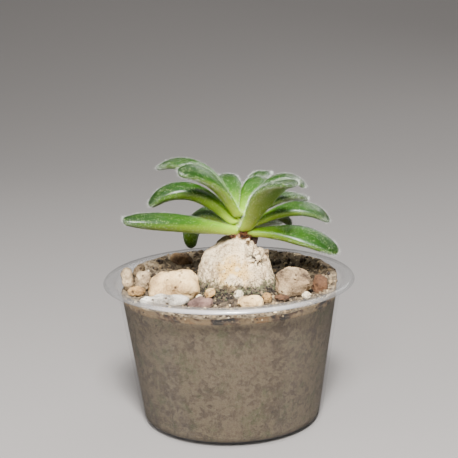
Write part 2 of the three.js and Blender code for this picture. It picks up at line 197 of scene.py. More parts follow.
class Finish:
    """A material: its surface shader and the nodes that feed it"""

    def __init__(self, name, **sockets):
        self.material = bpy.data.materials.new(name)
        self.material.use_nodes = True
        self.tree = self.material.node_tree
        self.surface = self.tree.nodes["Principled BSDF"]
        self.place = self.node("ShaderNodeTexCoord", out="Object")
        self.feed(self.surface, {key.replace("_", " "): value for key, value in sockets.items()})

    def feed(self, node, values):
        for key, value in values.items():
            if isinstance(value, Value):
                self.tree.links.new(value.socket, node.inputs[key])
            else:
                node.inputs[key].default_value = value

    def node(self, kind, settings=None, values=None, out=0):
        made = self.tree.nodes.new(kind)
        for key, setting in (settings or {}).items():
            if key == "stops":
                self.set_stops(made.color_ramp, setting)
            else:
                setattr(made, key, setting)
        self.feed(made, values or {})
        return Value(self, made.outputs[out])

    def set_stops(self, ramp, stops):
        while len(ramp.elements) < len(stops):
            ramp.elements.new(1)
        for element, (position, colour) in zip(ramp.elements, stops):
            element.position = position
            element.color = colour

    def noise(self, per_mm, detail=4, roughness=0.55, out=0):
        sockets = {"Vector": self.place, "Scale": per_mm / MM, "Detail": detail, "Roughness": roughness}
        return self.node("ShaderNodeTexNoise", None, sockets, out)

    def cells(self, per_mm, feature="F1", out="Distance", place=None):
        return self.node("ShaderNodeTexVoronoi", {"feature": feature},
                         {"Vector": place or self.place, "Scale": per_mm / MM}, out)

    def vector(self, operation, *values, out=0):
        return self.node("ShaderNodeVectorMath", {"operation": operation}, dict(enumerate(values)), out)

    def warped(self, per_mm, reach_mm):
        """The place, pushed about by noise"""
        shift = self.vector("SUBTRACT", self.noise(per_mm, 2, out="Color"), (0.5, 0.5, 0.5))
        return self.vector("MULTIPLY_ADD", shift, (reach_mm * MM,) * 3, self.place)

    def near(self, point_mm, inner_mm, outer_mm):
        """1 within the inner distance of a point, 0 beyond the outer one"""
        point = tuple(value * MM for value in point_mm)
        distance = self.vector("DISTANCE", self.place, point, out="Value")
        return 1 - self.rise(distance, inner_mm, outer_mm)

    def reach(self):
        """The distance from the cup's axis"""
        return self.vector("LENGTH", self.vector("MULTIPLY", self.place, (1, 1, 0)), out="Value")

    def step(self, value, low, high):
        return self.node("ShaderNodeMapRange", {"interpolation_type": "SMOOTHSTEP"},
                         {"Value": value, "From Min": low, "From Max": high})

    def rise(self, value, low_mm, high_mm):
        """A step between two lengths"""
        return self.step(value, low_mm * MM, high_mm * MM)

    def ramp(self, value, stops):
        return self.node("ShaderNodeValToRGB", {"stops": stops}, {0: value})

    def mix(self, factor, low, high):
        return self.node("ShaderNodeMix", {"data_type": "RGBA"}, {0: factor, 6: low, 7: high}, 2)

    def stained(self, colour, stains):
        """A colour with stains laid over it in turn, each a mask and its own colour"""
        for mask, stain in stains:
            colour = self.mix(mask, colour, stain)
        return colour

    def mark(self, name):
        return self.node("ShaderNodeAttribute", {"attribute_name": name}, None, "Fac")

    def height(self):
        return self.node("ShaderNodeSeparateXYZ", None, {0: self.place}, "Z")

    def bump(self, height, reach_mm, strength=1.0):
        return self.node("ShaderNodeBump", None,
                         {"Height": height, "Distance": reach_mm * MM, "Strength": strength})


def leaf_finish():
    skin = Finish("leaf_skin", Subsurface_Weight=0.06, Subsurface_Scale=1.0 * MM, Specular_IOR_Level=0.4)
    along = skin.mark("along")
    mottle = skin.noise(0.5)
    shade = along + (mottle - 0.5) * 0.16
    upper = skin.ramp(shade, [
        (0.0, tone(150, 186, 24)), (0.2, tone(98, 138, 14)), (0.46, tone(43, 77, 6)),
        (0.78, tone(27, 55, 6)), (1.0, tone(23, 43, 11)),
    ])
    under = skin.ramp(shade, [
        (0.0, tone(150, 176, 40)), (0.3, tone(106, 132, 30)),
        (0.8, tone(66, 92, 24)), (1.0, tone(46, 70, 20)),
    ])
    colour = skin.mix(skin.mark("upper"), under, upper)
    bead = 1 - skin.step(skin.cells(1.5), 0.1, 0.3)
    colour = skin.mix(bead * 0.45, colour, tone(170, 194, 110))
    skin.feed(skin.surface, {
        "Base Color": colour,
        "Roughness": 0.28 + mottle * 0.14,
        "Normal": skin.bump(bead * 0.8 + mottle * 0.6, 0.12, 0.7),
    })
    return skin.material


def hair_finish():
    return Finish("leaf_hair", Base_Color=tone(214, 220, 208), Roughness=0.4).material


def bark_finish():
    bark = Finish("peeling_bark")
    height, hollow = bark.height(), bark.mark("hollow")
    broad = bark.noise(0.16, 3)
    patches = bark.noise(0.55, 4, 0.6)
    fine = bark.noise(2.2, 6, 0.7)
    warm = bark.step(bark.noise(0.25, 3), 0.4, 0.6)
    ochre = bark.near(*OCHRE_PATCH) * bark.step(bark.noise(0.35, 4), 0.4, 0.54)
    flecks = bark.step(bark.noise(1.1, 4, 0.6), 0.56, 0.64)
    specks = (1 - bark.step(bark.cells(1.3), 0.1, 0.32)) * bark.step(bark.noise(0.7, 3), 0.42, 0.52)
    flaky = bark.near(*FLAKY_PATCH)
    cracks = 1 - bark.step(bark.cells(0.4, "DISTANCE_TO_EDGE", place=bark.warped(0.8, 1.6)), 0.03, 0.14)
    cracks = cracks * flaky * bark.step(bark.noise(0.35, 2), 0.4, 0.56)
    damp = 1 - bark.rise(height + (patches - 0.5) * 7 * MM + (fine - 0.5) * 4 * MM, *BARK_DAMP_EDGE)
    algae = bark.step(bark.noise(0.8, 3), 0.46, 0.58)
    # darker mottling towards the lower left front of the caudex
    dark_mottle = bark.step(fine * 0.6 + bark.noise(0.9, 4) * 0.6, 0.54, 0.7) * bark.near(*DARK_MOTTLE_PATCH)
    neck = bark.rise(height + (fine - 0.5) * 2 * MM, *NECK_EDGE)
    base = bark.ramp(broad * 0.45 + patches * 0.55 + (fine - 0.5) * 0.7, [
        (0.3, tone(110, 88, 62)), (0.4, tone(172, 148, 114)), (0.5, tone(222, 200, 162)),
        (0.64, tone(238, 216, 176)), (0.78, tone(184, 152, 108)),
    ])
    colour = bark.stained(base, [
        (warm * 0.35, tone(222, 190, 146)),
        (ochre * 0.85, tone(212, 166, 80)),
        (flecks * 0.55, tone(128, 98, 64)),
        # painted shade on the lobe at the back left
        (bark.near(*PAINTED_SHADE_LOBE) * 0.85, tone(58, 48, 22)),
        (specks * 0.85, tone(72, 50, 30)),
        # painted shadow: the cracks of the flaky patch are coloured near black
        (cracks * 0.96, tone(20, 13, 8)),
        # painted shade in the hollows of the bark
        (bark.step(hollow, 0.2, 0.9) * 0.7, tone(82, 62, 42)),
        # deeper painted shadow in the hollows of the flaky patch
        (bark.step(hollow, 0.05, 0.35) * flaky, tone(30, 20, 12)),
        (damp * 0.9, bark.mix(algae, tone(40, 30, 20), tone(62, 72, 42))),
        (dark_mottle * 0.75, tone(96, 80, 56)),
        (neck * 0.85, tone(74, 36, 18)),
        (bark.rise(height, *CUSHION_EDGE), tone(128, 146, 40)),
    ])
    wrinkles = bark.node("ShaderNodeTexWave", {"bands_direction": "Z"}, {
        "Vector": bark.place, "Scale": 0.28 / MM, "Distortion": 9, "Detail": 3, "Detail Scale": 1.4,
    }, "Fac")
    wrinkles = wrinkles * bark.rise(height, *CONE_EDGE)
    surface = fine * 0.9 + patches * 0.4 + wrinkles * 0.35 - specks * 0.8 - cracks * 1.5
    bark.feed(bark.surface, {
        "Base Color": colour,
        "Roughness": 0.74 + fine * 0.2,
        "Normal": bark.bump(surface, 0.4, 0.9),
    })
    return bark.material


def stone_finish(name, light, middle, dark, speckle, speckles):
    stone = Finish(name)
    broad = stone.noise(0.2, 3)
    fine = stone.noise(2.2, 6, 0.7)
    grains = 1 - stone.step(stone.cells(2.6), 0.1, 0.34)
    pits = 1 - stone.step(stone.cells(0.5), 0.12, 0.26)
    pits = pits * stone.step(stone.noise(0.3, 2), 0.44, 0.5)
    damp = 1 - stone.rise(stone.height() + (fine - 0.5) * 2 * MM, *STONE_DAMP_EDGE)
    base = stone.ramp(broad + (fine - 0.5) * 0.5, [(0.3, dark), (0.5, middle), (0.66, light)])
    colour = stone.stained(base, [
        (grains * speckles, speckle),
        (pits * 0.9, tone(60, 44, 30)),
        (stone.step(stone.noise(0.4, 3), 0.54, 0.66) * 0.5, middle),
        # painted shade in the stone's hollows
        (stone.step(stone.mark("hollow"), 0.2, 1.0) * 0.6, dark),
        (damp * 0.55, tone(92, 80, 62)),
    ])
    stone.feed(stone.surface, {
        "Base Color": colour,
        "Roughness": 0.78 + fine * 0.16,
        "Normal": stone.bump(fine - pits * 1.2, 0.3, 0.75),
    })
    return stone.material


def soil_finish():
    soil = Finish("gritty_soil")
    height = soil.height()
    broad = soil.noise(0.12, 3)
    fine = soil.noise(1.4, 6, 0.7)
    lumps = soil.cells(0.75, out="Color")
    lump = soil.node("ShaderNodeSeparateColor", None, {0: lumps})
    # The top is painted darker towards the middle, where the plant and the stones shade it, and paler out
    # at the bank, where the light falls: painted shade and painted light.
    painted_shade_top = soil.ramp(fine * 0.6 + lump * 0.4, [
        (0.25, tone(30, 24, 18)), (0.5, tone(62, 51, 39)), (0.75, tone(98, 84, 66)),
    ])
    painted_light_top = soil.ramp(fine * 0.6 + lump * 0.4, [
        (0.25, tone(60, 49, 36)), (0.5, tone(106, 92, 72)), (0.75, tone(150, 132, 104)),
    ])
    top = soil.mix(soil.rise(soil.reach(), *PAINTED_LIGHT_REACH), painted_shade_top, painted_light_top)
    side = soil.ramp(fine * 0.45 + lump * 0.15 + broad * 0.4, [
        (0.34, tone(48, 38, 26)), (0.46, tone(64, 53, 38)),
        (0.54, tone(80, 69, 52)), (0.68, tone(62, 47, 33)),
    ])
    green = soil.step(soil.noise(0.2, 4), 0.48, 0.66) * soil.step(soil.noise(0.9, 3), 0.35, 0.6)
    specks = 1 - soil.step(soil.cells(0.5), 0.06, 0.16)
    side = soil.stained(side, [(green * 0.5, tone(46, 54, 22)), (specks * 0.7, tone(26, 18, 12))])
    band = soil.ramp(soil.noise(0.24, 3), [
        (0.36, tone(20, 14, 9)), (0.43, tone(62, 44, 28)),
        (0.52, tone(100, 84, 60)), (0.64, tone(92, 68, 40)),
    ])
    on_top = soil.rise(soil.reach(), *TOP_REACH) * soil.rise(height, *TOP_EDGE)
    colour = soil.stained(side, [(soil.rise(height, *BAND_EDGE), band), (on_top, top)])
    soil.feed(soil.surface, {
        "Base Color": colour,
        "Roughness": 0.85 + fine * 0.1,
        "Normal": soil.bump(fine + lump * 0.5, 0.4, 0.8),
    })
    return soil.material


def grit_finish():
    grit = Finish("mixed_grit")
    fine = grit.noise(3.0, 4)
    tint = grit.mark("tint")
    colour = grit.ramp(tint + (fine - 0.5) * 0.1, [
        (0.0, tone(34, 26, 20)), (0.3, tone(58, 46, 34)), (0.55, tone(88, 74, 56)),
        (0.75, tone(124, 104, 76)), (0.9, tone(176, 156, 120)), (1.0, tone(220, 206, 178)),
    ])
    grit.feed(grit.surface, {
        "Base Color": colour,
        "Roughness": 0.8 + fine * 0.15,
        "Normal": grit.bump(fine, 0.12, 0.7),
    })
    return grit.material


def crumb_finish():
    crumb = Finish("dark_crumbs")
    fine = crumb.noise(2.4, 4)
    colour = crumb.ramp(crumb.mark("tint") + (fine - 0.5) * 0.2, [
        (0.0, tone(24, 19, 15)), (0.45, tone(48, 39, 29)), (0.65, tone(70, 74, 48)),
        (0.85, tone(80, 66, 48)), (1.0, tone(160, 142, 112)),
    ])
    crumb.feed(crumb.surface, {
        "Base Color": colour,
        "Roughness": 0.82 + fine * 0.12,
        "Normal": crumb.bump(fine, 0.12, 0.7),
    })
    return crumb.material


def cup_finish():
    plastic = Finish("clear_plastic", IOR=1.5, Specular_IOR_Level=0.9)
    rim = plastic.rise(plastic.height(), *RIM_EDGE)
    lip = plastic.rise(plastic.reach(), *LIP_EDGE) * rim
    edge = plastic.node("ShaderNodeLayerWeight", None, {"Blend": 0.3}, "Fresnel")
    y = plastic.node("ShaderNodeSeparateXYZ", None, {0: plastic.place}, "Y")
    # The front of the rim is painted paler and more opaque than its sides: a painted highlight.
    front = rim - rim * plastic.rise(y, *FRONT_HIGHLIGHT_EDGE)
    plastic.feed(plastic.surface, {
        "Base Color": plastic.mix(front, tone(112, 111, 110), tone(170, 166, 164)),
        "Alpha": 0.03 + rim * 0.06 + lip * (0.18 + front * 0.3) + front * 0.1 + edge * (0.04 + rim * 0.3),
        "Roughness": 0.4 - rim * 0.14,
        "Coat Weight": rim,
    })
    return plastic.material


def stalk_finish():
    stalk = Finish("dry_stalk", Roughness=0.9)
    fine = stalk.noise(1.6, 5, 0.7)
    stalk.feed(stalk.surface, {
        "Base Color": stalk.ramp(fine, [(0.35, tone(20, 13, 8)), (0.6, tone(62, 40, 26))]),
        "Normal": stalk.bump(fine, 0.4, 0.9),
    })
    return stalk.material


def scale_finish():
    scale = Finish("dry_scales", Roughness=0.75)
    colour = scale.ramp(scale.mark("tint") + (scale.noise(1.4) - 0.5) * 0.5, [
        (0.0, tone(34, 16, 8)), (0.45, tone(86, 44, 20)),
        (0.75, tone(128, 82, 46)), (1.0, tone(170, 140, 100)),
    ])
    scale.feed(scale.surface, {"Base Color": colour, "Normal": scale.bump(scale.noise(2.0), 0.2, 0.8)})
    return scale.material


def floor_finish():
    return Finish("pale_floor", Base_Color=tone(126, 122, 119), Roughness=0.9).material


def pick(piece):
    """Selects one piece alone and makes it the active one"""
    bpy.ops.object.select_all(action="DESELECT")
    piece.select_set(True)
    bpy.context.view_layer.objects.active = piece


def open_mesh(piece, mode="VERT"):
    pick(piece)
    bpy.ops.object.mode_set(mode="EDIT")
    bpy.ops.mesh.select_mode(type=mode)
    bpy.ops.mesh.select_all(action="SELECT")


def close_mesh():
    bpy.ops.object.mode_set(mode="OBJECT")


def select_where(piece, test):
    """In edit mode: selects the vertices whose place passes the test, and nothing else"""
    bpy.ops.mesh.select_all(action="DESELECT")
    bpy.ops.object.mode_set(mode="OBJECT")
    for vertex in piece.data.vertices:
        vertex.select = test(vertex.co)
    bpy.ops.object.mode_set(mode="EDIT")


def modify(piece, kind, **settings):
    """Adds a modifier, sets it and applies it"""
    modifier = piece.modifiers.new(kind.lower(), kind)
    for key, setting in settings.items():
        setattr(modifier, key, setting)
    pick(piece)
    bpy.ops.object.modifier_apply(modifier=modifier.name)


def relief(piece, kind, size_mm, depth_mm, group="", direction="NORMAL", **settings):
    """Presses a procedural relief of one grain size into the piece's surface"""
    texture = bpy.data.textures.new(f"{piece.name}_{kind.lower()}", kind)
    texture.noise_scale = size_mm * MM
    for key, setting in settings.items():
        setattr(texture, key, setting)
    modify(piece, "DISPLACE", texture=texture, texture_coords="LOCAL", strength=depth_mm * MM,
           mid_level=0.5, vertex_group=group, direction=direction)


def vertex_array(mesh, field="co"):
    values = np.empty(len(mesh.vertices) * 3)
    mesh.vertices.foreach_get(field, values)
    return values.reshape(-1, 3)


def edge_array(mesh):
    ends = np.empty(len(mesh.edges) * 2, dtype=np.int64)
    mesh.edges.foreach_get("vertices", ends)
    return ends.reshape(-1, 2)


def set_mark(mesh, name, values):
    mark = mesh.attributes.new(name, "FLOAT", "POINT")
    mark.data.foreach_set("value", np.asarray(values, dtype=np.float32))


def read_mark(mesh, name):
    values = np.empty(len(mesh.vertices), dtype=np.float32)
    mesh.attributes[name].data.foreach_get("value", values)
    return values


def mark_hollows(piece, rounds, depth_mm):
    """Marks how far each vertex lies below its smoothed surroundings, in parts of a depth"""
    mesh = piece.data
    place = vertex_array(mesh)
    normal = vertex_array(mesh, "normal")
    first, second = edge_array(mesh).T
    count = np.bincount(np.concatenate([first, second]), minlength=len(place))[:, None]
    smooth = place.copy()
    for _ in range(rounds):
        total = np.zeros_like(smooth)
        np.add.at(total, first, smooth[second])
        np.add.at(total, second, smooth[first])
        smooth = total / np.maximum(count, 1)
    set_mark(mesh, "hollow", ((smooth - place) * normal).sum(axis=1) / (depth_mm * MM))


def weight_where(piece, name, weigh):
    """A vertex group whose weight is worked out from each vertex's place"""
    group = piece.vertex_groups.new(name=name)
    for index, place in enumerate(vertex_array(piece.data) / MM):
        group.add([index], float(min(max(weigh(*place), 0), 1)), "REPLACE")


def start_from(node, name):
    """A merged copy of a solid's mesh, to be given its fine surface"""
    source = frame["nodes"][node]
    piece = bpy.data.objects.new(name, source.data.copy())
    bpy.context.collection.objects.link(piece)
    open_mesh(piece)
    bpy.ops.mesh.remove_doubles(threshold=0.002 * MM)
    close_mesh()
    return piece


def dress(piece, material, slot, *nodes):
    """Gives the piece its finish, its body and the solids that it stands for"""
    piece.data.materials.clear()
    piece.data.materials.append(material)
    pick(piece)
    bpy.ops.object.shade_smooth()
    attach(piece, "root")
    if nodes:
        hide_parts(*nodes)


def copies_of(template, name, turns, places, marks=None):
    """One mesh that holds a copy of the template at each place, turned and scaled by its matrix"""
    corners = vertex_array(template.data)
    faces = np.array([list(face.vertices) for face in template.data.polygons])
    placed = np.einsum("kij,nj->kni", turns, corners) + places[:, None, :]
    shift = np.arange(len(places))[:, None, None] * len(corners)
    mesh = bpy.data.meshes.new(name)
    mesh.from_pydata(placed.reshape(-1, 3).tolist(), [], (faces[None] + shift).reshape(-1, 3).tolist())
    if marks is not None:
        set_mark(mesh, "tint", np.repeat(marks, len(corners)))
    piece = bpy.data.objects.new(name, mesh)
    bpy.context.collection.objects.link(piece)
    bpy.data.objects.remove(template)
    return piece


def raise_walls(stations):
    """Extrudes the selected rim from station to station, each a radius and a height"""
    radius, level = stations[0]
    for next_radius, next_level in stations[1:]:
        bpy.ops.mesh.extrude_region_move(TRANSFORM_OT_translate={"value": (0, 0, next_level - level)})
        ratio = next_radius / radius
        bpy.ops.transform.resize(value=(ratio, ratio, 1), center_override=(0, 0, next_level))
        radius, level = next_radius, next_level


def wall_radius(height):
    return BASE_RADIUS + (NECK_RADIUS - NECK_STEP - BASE_RADIUS) * height / NECK_FOOT


def start_ring(name, sides, radius, level):
    """A ring of edges, open in edit mode and ready to be extruded"""
    bpy.ops.mesh.primitive_circle_add(vertices=sides, radius=radius, location=(0, 0, level))
    piece = bpy.context.object
    piece.name = name
    bpy.ops.object.transform_apply(location=True)
    open_mesh(piece, "EDGE")
    return piece


def close_ring(piece, level):
    """Fills the ring that lies at this height"""
    select_where(piece, lambda place: abs(place.z - level) < 0.001 * MM)
    bpy.ops.mesh.edge_face_add()


def build_cup():
    """A film drawn up from the base: tapered wall, stepped neck, flat rim and its turned-down lip"""
    flare, under = CUP_HEIGHT - FLARE_DROP, CUP_HEIGHT - WALL
    inner_round = WALL + FLOOR_ROUND
    turns = [step * math.pi / 8 for step in range(5)]
    lip = [(RIM_RADIUS - LIP_DROP * (1 - math.cos(turn)), CUP_HEIGHT - LIP_DROP * (1 - math.sin(turn)))
           for turn in turns]
    stations = [
        (BASE_RADIUS - FLOOR_ROUND, 0), (wall_radius(FLOOR_ROUND), FLOOR_ROUND),
        (wall_radius(MID_WALL), MID_WALL), (wall_radius(NECK_FOOT), NECK_FOOT),
        (NECK_RADIUS, NECK_FOOT + NECK_STEP), (NECK_RADIUS, flare),
        (MOUTH_RADIUS, under), (RIM_RADIUS - WALL - LIP_SLANT, under),
        (RIM_RADIUS - WALL, CUP_HEIGHT - LIP_DROP), *lip,
        (MOUTH_RADIUS, CUP_HEIGHT), (NECK_RADIUS - INNER_WALL, flare),
        (NECK_RADIUS - INNER_WALL, NECK_FOOT + NECK_STEP),
        (wall_radius(NECK_FOOT) - INNER_WALL, NECK_FOOT),
        (wall_radius(MID_WALL) - INNER_WALL, MID_WALL),
        (wall_radius(inner_round) - INNER_WALL, inner_round),
        (BASE_RADIUS - inner_round, WALL),
    ]
    cup = start_ring("cup_film", CUP_SIDES, *stations[0])
    raise_walls(stations)
    bpy.ops.mesh.edge_face_add()
    close_ring(cup, 0)
    bpy.ops.mesh.select_all(action="SELECT")
    bpy.ops.mesh.normals_make_consistent(inside=False)
    close_mesh()
    modify(cup, "BEVEL", width=0.22 * MM, segments=3, limit_method="ANGLE", angle_limit=math.radians(14))
    dress(cup, cup_finish(), "clear_plastic", "cup")
    pick(cup)
    bpy.ops.object.shade_smooth_by_angle(angle=math.radians(40))


def ease(value, low, high):
    """0 below low, 1 above high and a smooth step between them"""
    share = min(max((value - low) / (high - low), 0), 1)
    return share * share * (3 - 2 * share)


def soil_height(x, y):
    """The height of the soil's surface at a place of the plan, all in millimetres"""
    from_caudex = math.hypot(x - CAUDEX_FOOT[0], y - CAUDEX_FOOT[1])
    mound = SOIL_MOUND * math.exp(-(((from_caudex - 11) / 3.2) ** 2))
    waves = 0.22 * math.sin(x * 0.45 + 1) * math.cos(y * 0.38) + 0.12 * math.sin(x * 0.9 - y * 0.8)
    back = SOIL_BACK_RISE * ease(y, 10, 30)
    bank = (SOIL_BANK + SOIL_BACK_RISE - back) * ease(math.hypot(x, y), 24, 32) * ease(y + 0.35 * x, -8, 12)
    return SOIL_LEVEL + mound + waves + back + bank


def build_soil():
    """A plug of soil drawn up inside the cup, with a crumbly top"""
    gap = WALL + CLEARANCE
    rise = (SOIL_SIDE_TOP * MM - gap) / SOIL_STEPS
    levels = [gap + FLOOR_ROUND + step * rise for step in range(SOIL_STEPS)]
    stations = [(wall_radius(0) - gap - 2 * FLOOR_ROUND, gap)]
    stations += [(wall_radius(level) - gap, level) for level in levels]
    stations.append((NECK_RADIUS - WALL - SOIL_NECK_GAP, SOIL_LEVEL * MM))
    soil = start_ring("soil_plug", SOIL_SIDES, *stations[0])
    raise_walls(stations)
    close_ring(soil, gap)
    close_ring(soil, SOIL_LEVEL * MM)
    bpy.ops.mesh.select_mode(type="FACE")
    for _ in range(SOIL_RINGS):
        bpy.ops.mesh.inset(thickness=stations[-1][0] / (SOIL_RINGS + 1))
    bpy.ops.mesh.select_all(action="SELECT")
    bpy.ops.mesh.normals_make_consistent(inside=False)
    close_mesh()
    for vertex in soil.data.vertices:
        if vertex.co.z > (SOIL_LEVEL - 0.1) * MM:
            vertex.co.z = soil_height(vertex.co.x / MM, vertex.co.y / MM) * MM
    weight_where(soil, "top", lambda x, y, z: (z - CRUMBLY_ABOVE) * 2 * (TOP_REACH[0] - math.hypot(x, y)))
    relief(soil, "CLOUDS", 1.5, 0.9, "top", "Z", noise_depth=3)
    relief(soil, "STUCCI", 0.6, 0.35, "top", "Z")
    dress(soil, soil_finish(), "soil", "soil")


def random_turns(random, sizes, flat=0.75):
    """A turn and a scale for each copy, with its thickness down to the flat share of its size"""
    turns = []
    for size in sizes:
        angles = random.uniform(0, 2 * math.pi, 3)
        turn = Matrix.Rotation(angles[0], 3, "Z") @ Matrix.Rotation(angles[1], 3, "X") \
            @ Matrix.Rotation(angles[2], 3, "Z")
        stretch = Matrix.Diagonal((size * random.uniform(0.8, 1.3), size, size * random.uniform(flat, 1)))
        turns.append(np.array(turn @ stretch))
    return np.array(turns)


def grain_template(seed):
    bpy.ops.mesh.primitive_ico_sphere_add(subdivisions=1, radius=1)
    grain = bpy.context.object
    open_mesh(grain)
    bpy.ops.transform.vertex_random(offset=0.22, seed=seed)
    bpy.ops.mesh.vertices_smooth(factor=0.3)
    close_mesh()
    return grain


def grain_places(random):
    """Places on the open soil, clear of the caudex and the stones"""
    boxes = [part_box(f"stone_{number:02d}") for number in range(1, STONE_COUNT + 1)]
    inset = 0.8 * MM
    places = []
    while len(places) < GRAIN_COUNT:
        reach = GRAIN_REACH * math.sqrt(random.uniform())
        angle = random.uniform(0, 2 * math.pi)
        x, y = reach * math.cos(angle), reach * math.sin(angle)
        in_caudex = math.hypot(x - CAUDEX_FOOT[0], y - CAUDEX_FOOT[1]) < CAUDEX_RADIUS
        in_stone = any(
            low.x + inset < x * MM < high.x - inset and low.y + inset < y * MM < high.y - inset
            for low, high in boxes
        )
        if not in_caudex and not in_stone:
            places.append((x, y, soil_height(x, y) + random.uniform(-0.1, 0.35)))
    return places


def neck_grain_places(random):
    """Places in the seam between the soil and the cup's neck"""
    places = []
    for _ in range(NECK_GRAIN_COUNT):
        angle = random.uniform(0, 2 * math.pi)
        x, y = random.uniform(*NECK_GRAIN_REACH) * np.array((math.cos(angle), math.sin(angle)))
        depth = soil_height(x, y) - NECK_GRAIN_FOOT
        places.append((x, y, NECK_GRAIN_FOOT + depth * random.uniform()))
    return places


def build_grit():
    """Loose grains over the surface"""
    random = np.random.default_rng(7)
    places = np.array(grain_places(random) + neck_grain_places(random)) * MM
    largest = np.repeat((GRAIN_LIMIT, NECK_GRAIN_LIMIT), (GRAIN_COUNT, NECK_GRAIN_COUNT))
    sizes = np.minimum(0.2 + 0.75 * random.power(0.42, len(places)), largest) * MM
    turns = random_turns(random, sizes)
    tints = random.beta(1.7, 1.6, len(places))
    grit = copies_of(grain_template(3), "loose_grit", turns, places, tints)
    dress(grit, grit_finish(), "soil")


def build_crumbs(bark):
    """Dark, damp crumbs that cling to the caudex's foot and lie heaped around it"""
    random = np.random.default_rng(11)
    surface = vertex_array(bark.data)
    normal = vertex_array(bark.data, "normal")
    level = surface[:, 2] / MM
    weight = np.where(level > CRUMB_FOOT, np.exp(-((level - CRUMB_FOOT) / 1.9) ** 2), 0)
    chosen = random.choice(len(surface), CRUMB_COUNT, p=weight / weight.sum())
    places = surface[chosen]
    heap = random.uniform(size=CRUMB_COUNT) < 0.4
    away = normal[chosen] * (random.uniform(0.4, 3.2, CRUMB_COUNT) * heap * MM)[:, None]
    places = places + away * (1, 1, 0)
    for index in np.flatnonzero(heap):
        x, y, _ = places[index] / MM
        places[index, 2] = (soil_height(x, y) + random.uniform(0, 0.6)) * MM
    sizes = random.uniform(0.12, 0.48, CRUMB_COUNT) * MM
    turns = random_turns(random, sizes, 0.6)
    tints = random.beta(1.1, 1.7, CRUMB_COUNT)
    crumbs = copies_of(grain_template(5), "damp_crumbs", turns, places, tints)
    dress(crumbs, crumb_finish(), "soil")


def build_caudex():
    """The swollen trunk: lumps, wrinkles and a patch of cracked bark at its upper right"""
    bark = start_from("caudex", "caudex_bark")
    modify(bark, "REMESH", mode="VOXEL", voxel_size=0.22 * MM)
    modify(bark, "SMOOTH", factor=0.5, iterations=4)
    weight_where(bark, "trunk", lambda x, y, z: (TRUNK_TOP - z) / 4)
    weight_where(bark, "flaky", lambda x, y, z: min((x - 4.5) / 2, (z - 48.6) / 1.5, (55.4 - z) / 0.6))
    weight_where(bark, "right", lambda x, y, z: min((x - 5) / 8, (55 - z) / 3, (z - 42) / 4))
    weight_where(bark, "shoulder", lambda x, y, z: min(-x / 5, (z - 51) / 2.5, 1) * 0.9)
    for side in ("right", "shoulder"):
        modify(bark, "DISPLACE", strength=-BARK_TRIM, mid_level=0, vertex_group=side)
    relief(bark, "CLOUDS", 7, 1.6, "trunk", noise_depth=0)
    relief(bark, "CLOUDS", 2.4, 0.6, "trunk", noise_depth=4)
    relief(bark, "VORONOI", 2.4, 2.4, "flaky", weight_1=-1, weight_2=1, noise_intensity=1.8)
    relief(bark, "STUCCI", 0.4, 0.22, "trunk")
    mark_hollows(bark, 6, 0.12)
    dress(bark, bark_finish(), "bark", "caudex")
    return bark


def build_stalk():
    """The dark stub of an old stalk, beside the crown"""
    foot = STALK_FOOT * MM
    outline = ((1.5, 0), (1.35, 1.2), (1.25, 2.2), (1.3, 3.2))
    stations = [(radius * MM, foot + rise * MM) for radius, rise in outline]
    stalk = start_ring("old_stalk", 20, *stations[0])
    bpy.ops.mesh.edge_face_add()
    bpy.ops.mesh.select_mode(type="FACE")
    raise_walls(stations)
    bpy.ops.mesh.inset(thickness=0.3 * MM)
    bpy.ops.mesh.inset(thickness=0.3 * MM)
    bpy.ops.transform.translate(value=(0, 0, -0.7 * MM))
    bpy.ops.mesh.select_all(action="SELECT")
    bpy.ops.transform.rotate(value=STALK_TILT, orient_axis="Y", center_override=(0, 0, foot))
    bpy.ops.transform.translate(value=STALK_PLACE)
    bpy.ops.mesh.normals_make_consistent(inside=False)
    close_mesh()
    modify(stalk, "SUBSURF", levels=2, render_levels=2)
    relief(stalk, "CLOUDS", 0.9, 0.6, noise_depth=3)
    dress(stalk, stalk_finish(), "bark")


def scale_template():
    """One dry leaf base: a cupped, pointed flake that stands on its root"""
    bpy.ops.mesh.primitive_grid_add(x_subdivisions=4, y_subdivisions=4, size=1, location=(0, 0.5, 0))
    scale = bpy.context.object
    bpy.ops.object.transform_apply(location=True)
    open_mesh(scale)
    select_where(scale, lambda place: place.y > 0.9)
    bpy.ops.transform.resize(value=(0.25, 1, 1), center_override=(0, 1, 0))
    select_where(scale, lambda place: 0.2 < place.y < 0.6)
    bpy.ops.transform.resize(value=(1.25, 1, 1), center_override=(0, 0, 0))
    select_where(scale, lambda place: abs(place.x) > 0.4)
    bpy.ops.transform.translate(value=(0, 0, 0.18))
    select_where(scale, lambda place: place.y > 0.7)
    bpy.ops.transform.translate(value=(0, 0, 0.16))
    bpy.ops.mesh.select_all(action="SELECT")
    bpy.ops.mesh.extrude_region_move(TRANSFORM_OT_translate={"value": (0, 0, -0.08)})
    bpy.ops.mesh.select_all(action="SELECT")
    bpy.ops.mesh.normals_make_consistent(inside=False)
    close_mesh()
    return scale


def build_scales():
    """Reddish, dried leaf bases around the neck, thickest at the front right"""
    random = np.random.default_rng(23)
    places, turns = [], []
    for _ in range(SCALE_COUNT):
        angle = math.radians(random.normal(-50, 75))
        height = random.uniform(*SCALE_HEIGHTS)
        reach = 1.5 + 0.9 * (CUSHION_EDGE[0] - height)
        x, y = CROWN_SPOT
        places.append((x + reach * math.cos(angle), y + reach * math.sin(angle), height))
        turn = Matrix.Rotation(angle - math.pi / 2, 3, "Z") \
            @ Matrix.Rotation(random.uniform(0.1, 1.3), 3, "X") \
            @ Matrix.Rotation(random.uniform(-0.5, 0.5), 3, "Y")
        width, length = random.uniform(0.6, 1.2), random.uniform(0.8, 1.9)
        turns.append(np.array(turn @ Matrix.Diagonal((width, length, width))) * MM)
    scales = copies_of(scale_template(), "dry_scales", np.array(turns), np.array(places) * MM,
                       random.uniform(size=SCALE_COUNT))
    dress(scales, scale_finish(), "bark")


